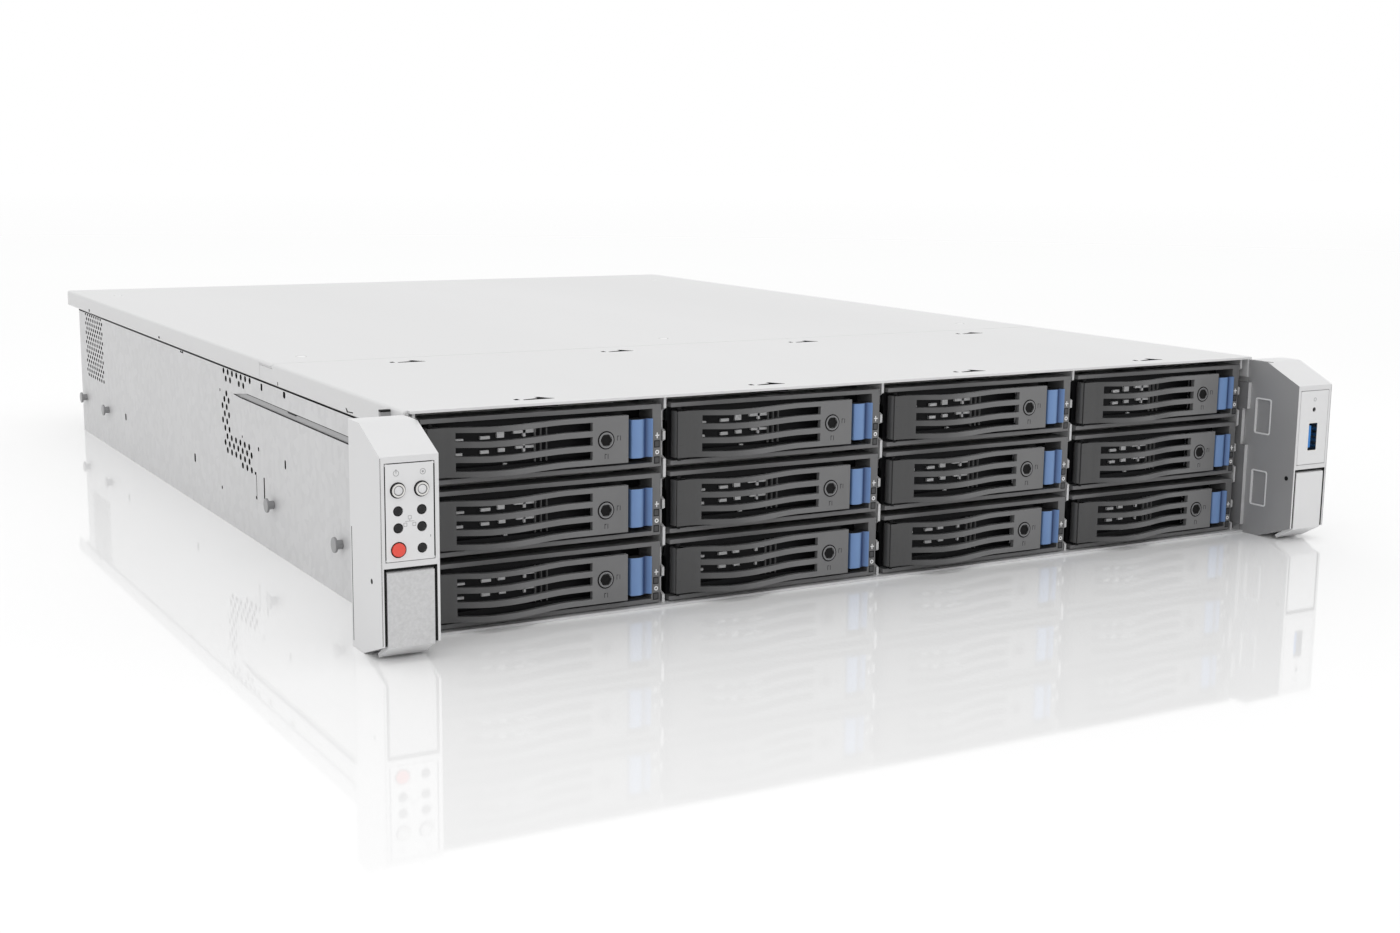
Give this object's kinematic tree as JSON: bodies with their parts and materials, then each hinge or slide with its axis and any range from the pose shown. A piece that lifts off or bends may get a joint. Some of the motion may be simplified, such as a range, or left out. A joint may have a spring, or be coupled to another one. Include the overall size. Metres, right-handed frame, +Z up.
{
  "type": "2u rack server",
  "caption": "Two-unit 19-inch rack storage server with swinging-lever hot-swap drive bays, control ears, fans and twin power supplies.",
  "frame": {"origin": "underside of the base, on the mid-plane, at the plane of the drive tray fronts", "axes": "+X to the right seen from the front, +Y towards the rear, +Z up"},
  "size_m": [0.4826, 0.646, 0.0875],
  "materials": {
    "zinc_sheet": "zinc-coated, satin",
    "silver_paint": "fine satin texture",
    "dark_plastic": "half gloss",
    "black_plastic": "matte",
    "blue_plastic": "half gloss",
    "red_plastic": "gloss",
    "circuit_board": "solder mask",
    "bare_aluminium": "mill",
    "plated_steel": "bright zinc"
  },
  "bodies": {
    "chassis": {"chassis_tray": "zinc_sheet", "front_cover": "zinc_sheet", "drive_cage": "zinc_sheet", "drive_backplane": "circuit_board", "fan_frame": "black_plastic", "mainboard": "circuit_board", "memory_modules": "circuit_board", "heat_sinks": "bare_aluminium", "left_ear": "silver_paint", "right_ear": "silver_paint", "control_panel": "silver_paint", "port_panel": "silver_paint", "rail_studs": "plated_steel"},
    "lid": {"rear_lid": "zinc_sheet"},
    "rotor_1": {"fan_rotor_1": "black_plastic"},
    "rotor_2": {"fan_rotor_2": "black_plastic"},
    "rotor_3": {"fan_rotor_3": "black_plastic"},
    "psu_1": {"power_supply_1": "zinc_sheet"},
    "psu_2": {"power_supply_2": "zinc_sheet"},
    "power_button_body": {"power_button": "silver_paint"},
    "identify_button_body": {"identify_button": "silver_paint"},
    "service_button_body": {"service_button": "red_plastic"},
    "left_flap_body": {"left_flap": "silver_paint"},
    "right_flap_body": {"right_flap": "silver_paint"},
    "tray_01": {"drive_tray_01": "dark_plastic"},
    "lever_01": {"drive_lever_01": "dark_plastic"},
    "release_01": {"release_button_01": "blue_plastic"},
    "tray_02": {"drive_tray_02": "dark_plastic"},
    "lever_02": {"drive_lever_02": "dark_plastic"},
    "release_02": {"release_button_02": "blue_plastic"},
    "tray_03": {"drive_tray_03": "dark_plastic"},
    "lever_03": {"drive_lever_03": "dark_plastic"},
    "release_03": {"release_button_03": "blue_plastic"},
    "tray_04": {"drive_tray_04": "dark_plastic"},
    "lever_04": {"drive_lever_04": "dark_plastic"},
    "release_04": {"release_button_04": "blue_plastic"},
    "tray_05": {"drive_tray_05": "dark_plastic"},
    "lever_05": {"drive_lever_05": "dark_plastic"},
    "release_05": {"release_button_05": "blue_plastic"},
    "tray_06": {"drive_tray_06": "dark_plastic"},
    "lever_06": {"drive_lever_06": "dark_plastic"},
    "release_06": {"release_button_06": "blue_plastic"},
    "tray_07": {"drive_tray_07": "dark_plastic"},
    "lever_07": {"drive_lever_07": "dark_plastic"},
    "release_07": {"release_button_07": "blue_plastic"},
    "tray_08": {"drive_tray_08": "dark_plastic"},
    "lever_08": {"drive_lever_08": "dark_plastic"},
    "release_08": {"release_button_08": "blue_plastic"},
    "tray_09": {"drive_tray_09": "dark_plastic"},
    "lever_09": {"drive_lever_09": "dark_plastic"},
    "release_09": {"release_button_09": "blue_plastic"},
    "tray_10": {"drive_tray_10": "dark_plastic"},
    "lever_10": {"drive_lever_10": "dark_plastic"},
    "release_10": {"release_button_10": "blue_plastic"},
    "tray_11": {"drive_tray_11": "dark_plastic"},
    "lever_11": {"drive_lever_11": "dark_plastic"},
    "release_11": {"release_button_11": "blue_plastic"},
    "tray_12": {"drive_tray_12": "dark_plastic"},
    "lever_12": {"drive_lever_12": "dark_plastic"},
    "release_12": {"release_button_12": "blue_plastic"}
  },
  "joints": [
    {"name": "lid_slide", "type": "slide", "parent": "chassis", "child": "lid", "axis": [0, 1, 0], "range_m": [0, 0.014]},
    {"name": "fan_1_spin", "type": "hinge", "parent": "chassis", "child": "rotor_1", "pos_m": [-0.13, 0.203, 0.041], "axis": [0, 1, 0], "continuous": true},
    {"name": "fan_2_spin", "type": "hinge", "parent": "chassis", "child": "rotor_2", "pos_m": [0, 0.203, 0.041], "axis": [0, 1, 0], "continuous": true},
    {"name": "fan_3_spin", "type": "hinge", "parent": "chassis", "child": "rotor_3", "pos_m": [0.13, 0.203, 0.041], "axis": [0, 1, 0], "continuous": true},
    {"name": "psu_1_slide", "type": "slide", "parent": "chassis", "child": "psu_1", "axis": [0, 1, 0], "range_m": [0, 0.19]},
    {"name": "psu_2_slide", "type": "slide", "parent": "chassis", "child": "psu_2", "axis": [0, 1, 0], "range_m": [0, 0.19]},
    {"name": "power_button_press", "type": "slide", "parent": "chassis", "child": "power_button_body", "axis": [0, 1, 0], "range_m": [0, 0.001], "stiffness_N_per_m": 400},
    {"name": "identify_button_press", "type": "slide", "parent": "chassis", "child": "identify_button_body", "axis": [0, 1, 0], "range_m": [0, 0.001], "stiffness_N_per_m": 400},
    {"name": "service_button_press", "type": "slide", "parent": "chassis", "child": "service_button_body", "axis": [0, 1, 0], "range_m": [0, 0.001], "stiffness_N_per_m": 400},
    {"name": "left_flap_hinge", "type": "hinge", "parent": "chassis", "child": "left_flap_body", "pos_m": [-0.23015, -0.0306, 0.033], "axis": [-1, 0, 0], "range_deg": [0, 70]},
    {"name": "right_flap_hinge", "type": "hinge", "parent": "chassis", "child": "right_flap_body", "pos_m": [0.23015, -0.0306, 0.033], "axis": [-1, 0, 0], "range_deg": [0, 70]},
    {"name": "tray_01_slide", "type": "slide", "parent": "chassis", "child": "tray_01", "axis": [0, -1, 0], "range_m": [0, 0.165]},
    {"name": "lever_01_hinge", "type": "hinge", "parent": "tray_01", "child": "lever_01", "pos_m": [-0.209, 0.0005, 0.0709], "axis": [0, 0, -1], "range_deg": [0, 55]},
    {"name": "release_01_press", "type": "slide", "parent": "tray_01", "child": "release_01", "axis": [0, 1, 0], "range_m": [0, 0.0025], "stiffness_N_per_m": 600},
    {"name": "tray_02_slide", "type": "slide", "parent": "chassis", "child": "tray_02", "axis": [0, -1, 0], "range_m": [0, 0.165]},
    {"name": "lever_02_hinge", "type": "hinge", "parent": "tray_02", "child": "lever_02", "pos_m": [-0.209, 0.0005, 0.0426], "axis": [0, 0, -1], "range_deg": [0, 55]},
    {"name": "release_02_press", "type": "slide", "parent": "tray_02", "child": "release_02", "axis": [0, 1, 0], "range_m": [0, 0.0025], "stiffness_N_per_m": 600},
    {"name": "tray_03_slide", "type": "slide", "parent": "chassis", "child": "tray_03", "axis": [0, -1, 0], "range_m": [0, 0.165]},
    {"name": "lever_03_hinge", "type": "hinge", "parent": "tray_03", "child": "lever_03", "pos_m": [-0.209, 0.0005, 0.0143], "axis": [0, 0, -1], "range_deg": [0, 55]},
    {"name": "release_03_press", "type": "slide", "parent": "tray_03", "child": "release_03", "axis": [0, 1, 0], "range_m": [0, 0.0025], "stiffness_N_per_m": 600},
    {"name": "tray_04_slide", "type": "slide", "parent": "chassis", "child": "tray_04", "axis": [0, -1, 0], "range_m": [0, 0.165]},
    {"name": "lever_04_hinge", "type": "hinge", "parent": "tray_04", "child": "lever_04", "pos_m": [-0.1014, 0.0005, 0.0709], "axis": [0, 0, -1], "range_deg": [0, 55]},
    {"name": "release_04_press", "type": "slide", "parent": "tray_04", "child": "release_04", "axis": [0, 1, 0], "range_m": [0, 0.0025], "stiffness_N_per_m": 600},
    {"name": "tray_05_slide", "type": "slide", "parent": "chassis", "child": "tray_05", "axis": [0, -1, 0], "range_m": [0, 0.165]},
    {"name": "lever_05_hinge", "type": "hinge", "parent": "tray_05", "child": "lever_05", "pos_m": [-0.1014, 0.0005, 0.0426], "axis": [0, 0, -1], "range_deg": [0, 55]},
    {"name": "release_05_press", "type": "slide", "parent": "tray_05", "child": "release_05", "axis": [0, 1, 0], "range_m": [0, 0.0025], "stiffness_N_per_m": 600},
    {"name": "tray_06_slide", "type": "slide", "parent": "chassis", "child": "tray_06", "axis": [0, -1, 0], "range_m": [0, 0.165]},
    {"name": "lever_06_hinge", "type": "hinge", "parent": "tray_06", "child": "lever_06", "pos_m": [-0.1014, 0.0005, 0.0143], "axis": [0, 0, -1], "range_deg": [0, 55]},
    {"name": "release_06_press", "type": "slide", "parent": "tray_06", "child": "release_06", "axis": [0, 1, 0], "range_m": [0, 0.0025], "stiffness_N_per_m": 600},
    {"name": "tray_07_slide", "type": "slide", "parent": "chassis", "child": "tray_07", "axis": [0, -1, 0], "range_m": [0, 0.165]},
    {"name": "lever_07_hinge", "type": "hinge", "parent": "tray_07", "child": "lever_07", "pos_m": [0.0062, 0.0005, 0.0709], "axis": [0, 0, -1], "range_deg": [0, 55]},
    {"name": "release_07_press", "type": "slide", "parent": "tray_07", "child": "release_07", "axis": [0, 1, 0], "range_m": [0, 0.0025], "stiffness_N_per_m": 600},
    {"name": "tray_08_slide", "type": "slide", "parent": "chassis", "child": "tray_08", "axis": [0, -1, 0], "range_m": [0, 0.165]},
    {"name": "lever_08_hinge", "type": "hinge", "parent": "tray_08", "child": "lever_08", "pos_m": [0.0062, 0.0005, 0.0426], "axis": [0, 0, -1], "range_deg": [0, 55]},
    {"name": "release_08_press", "type": "slide", "parent": "tray_08", "child": "release_08", "axis": [0, 1, 0], "range_m": [0, 0.0025], "stiffness_N_per_m": 600},
    {"name": "tray_09_slide", "type": "slide", "parent": "chassis", "child": "tray_09", "axis": [0, -1, 0], "range_m": [0, 0.165]},
    {"name": "lever_09_hinge", "type": "hinge", "parent": "tray_09", "child": "lever_09", "pos_m": [0.0062, 0.0005, 0.0143], "axis": [0, 0, -1], "range_deg": [0, 55]},
    {"name": "release_09_press", "type": "slide", "parent": "tray_09", "child": "release_09", "axis": [0, 1, 0], "range_m": [0, 0.0025], "stiffness_N_per_m": 600},
    {"name": "tray_10_slide", "type": "slide", "parent": "chassis", "child": "tray_10", "axis": [0, -1, 0], "range_m": [0, 0.165]},
    {"name": "lever_10_hinge", "type": "hinge", "parent": "tray_10", "child": "lever_10", "pos_m": [0.1138, 0.0005, 0.0709], "axis": [0, 0, -1], "range_deg": [0, 55]},
    {"name": "release_10_press", "type": "slide", "parent": "tray_10", "child": "release_10", "axis": [0, 1, 0], "range_m": [0, 0.0025], "stiffness_N_per_m": 600},
    {"name": "tray_11_slide", "type": "slide", "parent": "chassis", "child": "tray_11", "axis": [0, -1, 0], "range_m": [0, 0.165]},
    {"name": "lever_11_hinge", "type": "hinge", "parent": "tray_11", "child": "lever_11", "pos_m": [0.1138, 0.0005, 0.0426], "axis": [0, 0, -1], "range_deg": [0, 55]},
    {"name": "release_11_press", "type": "slide", "parent": "tray_11", "child": "release_11", "axis": [0, 1, 0], "range_m": [0, 0.0025], "stiffness_N_per_m": 600},
    {"name": "tray_12_slide", "type": "slide", "parent": "chassis", "child": "tray_12", "axis": [0, -1, 0], "range_m": [0, 0.165]},
    {"name": "lever_12_hinge", "type": "hinge", "parent": "tray_12", "child": "lever_12", "pos_m": [0.1138, 0.0005, 0.0143], "axis": [0, 0, -1], "range_deg": [0, 55]},
    {"name": "release_12_press", "type": "slide", "parent": "tray_12", "child": "release_12", "axis": [0, 1, 0], "range_m": [0, 0.0025], "stiffness_N_per_m": 600}
  ]
}
